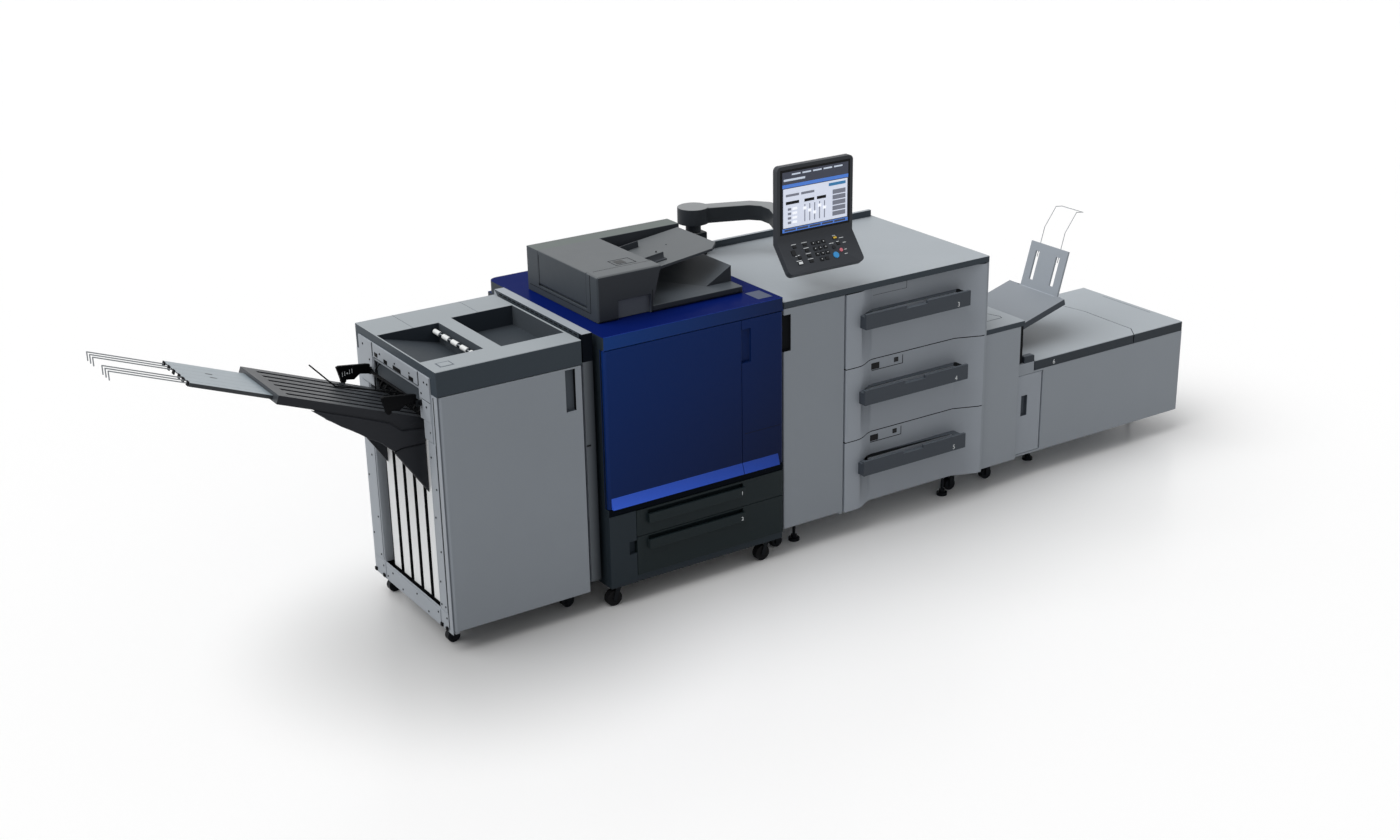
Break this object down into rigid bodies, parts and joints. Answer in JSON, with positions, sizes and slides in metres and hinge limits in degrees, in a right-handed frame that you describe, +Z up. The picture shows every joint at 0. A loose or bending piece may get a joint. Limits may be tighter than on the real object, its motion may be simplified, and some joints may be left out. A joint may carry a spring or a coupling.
{
  "type": "digital production printer",
  "caption": "Production printer line: stacking finisher with sloping output tray, print engine with document feeder, paper feed cabinet with swing-arm panel, low magazine with bypass tray.",
  "frame": {"origin": "middle of the footprint on the floor", "axes": "+X along the line from the output tray to the paper magazine, -Y out of the fronts, +Z up"},
  "size_m": [4.5144, 0.878, 1.503],
  "materials": {
    "body_grey": "satin grey paint",
    "door_grey": "satin grey cover",
    "top_grey": "light grey cover",
    "sheet_metal": "bare sheet",
    "white_plastic": "white",
    "black_rubber": "black",
    "white_rubber": "white tyres",
    "tray_dark": "dark grey",
    "tray_grey": "mid grey",
    "wire_steel": "bright wire",
    "lever_black": "black",
    "engine_black": "dark grey paint",
    "engine_navy": "navy paint",
    "engine_blue": "blue cover",
    "drum_blue": "drum coating",
    "fuser_rubber": "red-brown sleeve",
    "roller_steel": "ground steel",
    "platen": "clear",
    "feeder_grey": "dark grey",
    "arm_grey": "dark grey",
    "screen": "lit screen",
    "key_blue": "blue key",
    "key_red": "pink-red key",
    "key_dark": "dark keys",
    "bypass_grey": "mid grey",
    "foot_metal": "plated",
    "caster_black": "black",
    "wheel_black": "black"
  },
  "bodies": {
    "printer_line": {"finisher_frame": "body_grey", "finisher_top": "top_grey", "finisher_end_plate": "sheet_metal", "stack_slats": "white_plastic", "relay_unit": "body_grey", "engine_frame": "engine_black", "engine_covers": "engine_navy", "engine_top": "engine_blue", "imaging_drums": "drum_blue", "transfer_belt": "black_rubber", "toner_bottles": "white_plastic", "platen_glass": "platen", "arm_post": "arm_grey", "feed_cabinet": "body_grey", "feed_top": "top_grey", "tower_cabinet": "body_grey", "tower_top": "top_grey", "magazine_cabinet": "body_grey", "levelling_feet": "foot_metal", "cabinet_casters": "caster_black"},
    "finisher_door": {"finisher_door": "door_grey"},
    "exit_roller": {"exit_roller": "black_rubber"},
    "pocket_roller": {"pocket_roller": "white_rubber"},
    "output_tray": {"output_tray": "tray_dark"},
    "tray_extension": {"tray_extension": "tray_grey"},
    "tray_wires": {"tray_wires": "wire_steel"},
    "paper_arms": {"paper_arms": "lever_black"},
    "engine_left_door": {"engine_left_door": "engine_navy"},
    "engine_right_door": {"engine_right_door": "engine_navy"},
    "tray_1": {"tray_1": "engine_black"},
    "tray_2": {"tray_2": "engine_black"},
    "fuser_roller": {"fuser_roller": "fuser_rubber"},
    "pressure_roller": {"pressure_roller": "roller_steel"},
    "scan_carriage": {"scan_carriage": "feeder_grey"},
    "feeder": {"feeder_base": "feeder_grey"},
    "feeder_cover": {"feeder_cover": "feeder_grey"},
    "document_tray": {"document_tray": "feeder_grey"},
    "guide_front": {"guide_front": "feeder_grey"},
    "guide_rear": {"guide_rear": "feeder_grey"},
    "swing_arm": {"swing_arm": "arm_grey"},
    "operation_panel": {"panel_housing": "arm_grey", "panel_screen": "screen"},
    "start_key": {"start_key": "key_blue"},
    "stop_key": {"stop_key": "key_red"},
    "keypad_keys": {"keypad_keys": "key_dark"},
    "feed_door": {"feed_door": "door_grey"},
    "drawer_3": {"drawer_3": "door_grey"},
    "drawer_4": {"drawer_4": "door_grey"},
    "drawer_5": {"drawer_5": "door_grey"},
    "bypass_tray": {"bypass_tray": "bypass_grey"},
    "bypass_extension": {"bypass_extension": "bypass_grey"},
    "bypass_wire": {"bypass_wire": "wire_steel"},
    "magazine_door": {"magazine_door": "door_grey"},
    "magazine_left_lid": {"magazine_left_lid": "top_grey"},
    "magazine_right_lid": {"magazine_right_lid": "top_grey"},
    "lift_plate": {"lift_plate": "sheet_metal"},
    "left_caster_fork": {"left_caster_fork": "caster_black"},
    "left_caster_wheel": {"left_caster_wheel": "wheel_black"},
    "right_caster_fork": {"right_caster_fork": "caster_black"},
    "right_caster_wheel": {"right_caster_wheel": "wheel_black"}
  },
  "joints": [
    {"name": "finisher_door_turn", "type": "hinge", "parent": "printer_line", "child": "finisher_door", "pos_m": [-1.25184, -0.373, 0.5], "axis": [0, 0, 1], "range_deg": [-90, 0]},
    {"name": "exit_roller_spin", "type": "hinge", "parent": "printer_line", "child": "exit_roller", "pos_m": [-1.22384, -0.073, 0.872], "axis": [0, 1, 0], "continuous": true},
    {"name": "pocket_roller_spin", "type": "hinge", "parent": "printer_line", "child": "pocket_roller", "pos_m": [-1.04984, -0.094, 1.015], "axis": [0, 1, 0], "continuous": true},
    {"name": "output_tray_slide", "type": "slide", "parent": "printer_line", "child": "output_tray", "axis": [0, 0, -1], "range_m": [0, 0.34]},
    {"name": "tray_extension_slide", "type": "slide", "parent": "output_tray", "child": "tray_extension", "axis": [-0.9336, 0, 0.3584], "range_m": [-0.24, 0]},
    {"name": "tray_wires_slide", "type": "slide", "parent": "tray_extension", "child": "tray_wires", "axis": [-0.9336, 0, 0.3584], "range_m": [-0.19, 0]},
    {"name": "paper_arms_turn", "type": "hinge", "parent": "printer_line", "child": "paper_arms", "pos_m": [-1.28584, -0.079, 0.905], "axis": [0, 1, 0], "range_deg": [0, 25]},
    {"name": "engine_left_door_turn", "type": "hinge", "parent": "printer_line", "child": "engine_left_door", "pos_m": [-0.63784, -0.397, 0.7], "axis": [0, 0, 1], "range_deg": [-90, 0]},
    {"name": "engine_right_door_turn", "type": "hinge", "parent": "printer_line", "child": "engine_right_door", "pos_m": [0.09816, -0.397, 0.7], "axis": [0, 0, 1], "range_deg": [0, 90]},
    {"name": "tray_1_slide", "type": "slide", "parent": "printer_line", "child": "tray_1", "axis": [0, -1, 0], "range_m": [0, 0.43]},
    {"name": "tray_2_slide", "type": "slide", "parent": "printer_line", "child": "tray_2", "axis": [0, -1, 0], "range_m": [0, 0.43]},
    {"name": "fuser_roller_spin", "type": "hinge", "parent": "printer_line", "child": "fuser_roller", "pos_m": [0.02216, -0.009, 0.7], "axis": [0, 1, 0], "continuous": true},
    {"name": "pressure_roller_spin", "type": "hinge", "parent": "printer_line", "child": "pressure_roller", "pos_m": [0.02216, -0.009, 0.6497], "axis": [0, 1, 0], "continuous": true},
    {"name": "scan_carriage_slide", "type": "slide", "parent": "printer_line", "child": "scan_carriage", "axis": [1, 0, 0], "range_m": [0, 0.36]},
    {"name": "feeder_turn", "type": "hinge", "parent": "printer_line", "child": "feeder", "pos_m": [-0.27984, 0.247, 1.052], "axis": [-1, 0, 0], "range_deg": [0, 60]},
    {"name": "feeder_cover_turn", "type": "hinge", "parent": "feeder", "child": "feeder_cover", "pos_m": [-0.57184, -0.025, 1.09], "axis": [0, -1, 0], "range_deg": [0, 80]},
    {"name": "document_tray_turn", "type": "hinge", "parent": "feeder", "child": "document_tray", "pos_m": [-0.30984, -0.019, 1.155], "axis": [0, -1, 0], "range_deg": [0, 35]},
    {"name": "guide_front_slide", "type": "slide", "parent": "document_tray", "child": "guide_front", "axis": [0, 1, 0], "range_m": [0, 0.06]},
    {"name": "guide_rear_slide", "type": "slide", "parent": "document_tray", "child": "guide_rear", "axis": [0, -1, 0], "range_m": [0, 0.06]},
    {"name": "swing_arm_turn", "type": "hinge", "parent": "printer_line", "child": "swing_arm", "pos_m": [0.18916, 0.3, 1.13], "axis": [0, 0, 1], "range_deg": [-4, 55]},
    {"name": "operation_panel_turn", "type": "hinge", "parent": "swing_arm", "child": "operation_panel", "pos_m": [0.29716, -0.283, 1.181], "axis": [-1, 0, 0], "range_deg": [-10, 20]},
    {"name": "start_key_slide", "type": "slide", "parent": "operation_panel", "child": "start_key", "axis": [0, 0.7771, -0.6293], "range_m": [0, 0.002], "stiffness_N_per_m": 400, "springref_m": -0.002},
    {"name": "stop_key_slide", "type": "slide", "parent": "operation_panel", "child": "stop_key", "axis": [0, 0.7771, -0.6293], "range_m": [0, 0.002], "stiffness_N_per_m": 400, "springref_m": -0.002},
    {"name": "keypad_keys_slide", "type": "slide", "parent": "operation_panel", "child": "keypad_keys", "axis": [0, 0.7771, -0.6293], "range_m": [0, 0.002], "stiffness_N_per_m": 400, "springref_m": -0.002},
    {"name": "feed_door_turn", "type": "hinge", "parent": "printer_line", "child": "feed_door", "pos_m": [0.39016, -0.39, 0.55], "axis": [0, 0, 1], "range_deg": [0, 90]},
    {"name": "drawer_3_slide", "type": "slide", "parent": "printer_line", "child": "drawer_3", "axis": [0, -1, 0], "range_m": [0, 0.48]},
    {"name": "drawer_4_slide", "type": "slide", "parent": "printer_line", "child": "drawer_4", "axis": [0, -1, 0], "range_m": [0, 0.48]},
    {"name": "drawer_5_slide", "type": "slide", "parent": "printer_line", "child": "drawer_5", "axis": [0, -1, 0], "range_m": [0, 0.48]},
    {"name": "bypass_tray_turn", "type": "hinge", "parent": "printer_line", "child": "bypass_tray", "pos_m": [1.35216, -0.079, 0.59], "axis": [0, -1, 0], "range_deg": [0, 45]},
    {"name": "bypass_extension_turn", "type": "hinge", "parent": "bypass_tray", "child": "bypass_extension", "pos_m": [1.68375, -0.079, 0.67781], "axis": [0, -1, 0], "range_deg": [0, 60]},
    {"name": "bypass_wire_slide", "type": "slide", "parent": "bypass_extension", "child": "bypass_wire", "axis": [0.2756, 0, 0.9613], "range_m": [-0.065, 0]},
    {"name": "magazine_door_turn", "type": "hinge", "parent": "printer_line", "child": "magazine_door", "pos_m": [1.43716, -0.359, 0.29], "axis": [0, 0, 1], "range_deg": [0, 90]},
    {"name": "magazine_left_lid_turn", "type": "hinge", "parent": "printer_line", "child": "magazine_left_lid", "pos_m": [1.70016, 0.211, 0.486], "axis": [-1, 0, 0], "range_deg": [0, 8]},
    {"name": "magazine_right_lid_turn", "type": "hinge", "parent": "printer_line", "child": "magazine_right_lid", "pos_m": [2.13016, 0.211, 0.486], "axis": [-1, 0, 0], "range_deg": [0, 70]},
    {"name": "lift_plate_slide", "type": "slide", "parent": "printer_line", "child": "lift_plate", "axis": [0, 0, 1], "range_m": [0, 0.27]},
    {"name": "left_caster_fork_spin", "type": "hinge", "parent": "printer_line", "child": "left_caster_fork", "pos_m": [-0.59784, -0.367, 0.06], "axis": [0, 0, 1], "continuous": true},
    {"name": "left_caster_wheel_spin", "type": "hinge", "parent": "left_caster_fork", "child": "left_caster_wheel", "pos_m": [-0.62184, -0.367, 0.0306], "axis": [0, 1, 0], "continuous": true},
    {"name": "right_caster_fork_spin", "type": "hinge", "parent": "printer_line", "child": "right_caster_fork", "pos_m": [0.05716, -0.367, 0.06], "axis": [0, 0, 1], "continuous": true},
    {"name": "right_caster_wheel_spin", "type": "hinge", "parent": "right_caster_fork", "child": "right_caster_wheel", "pos_m": [0.03316, -0.367, 0.0306], "axis": [0, 1, 0], "continuous": true}
  ],
  "couplings": [
    {"joint": "pocket_roller_spin", "follows": "exit_roller_spin", "ratio": 1.5556},
    {"joint": "pressure_roller_spin", "follows": "fuser_roller_spin", "ratio": -1.0833},
    {"joint": "guide_rear_slide", "follows": "guide_front_slide", "ratio": 1}
  ]
}
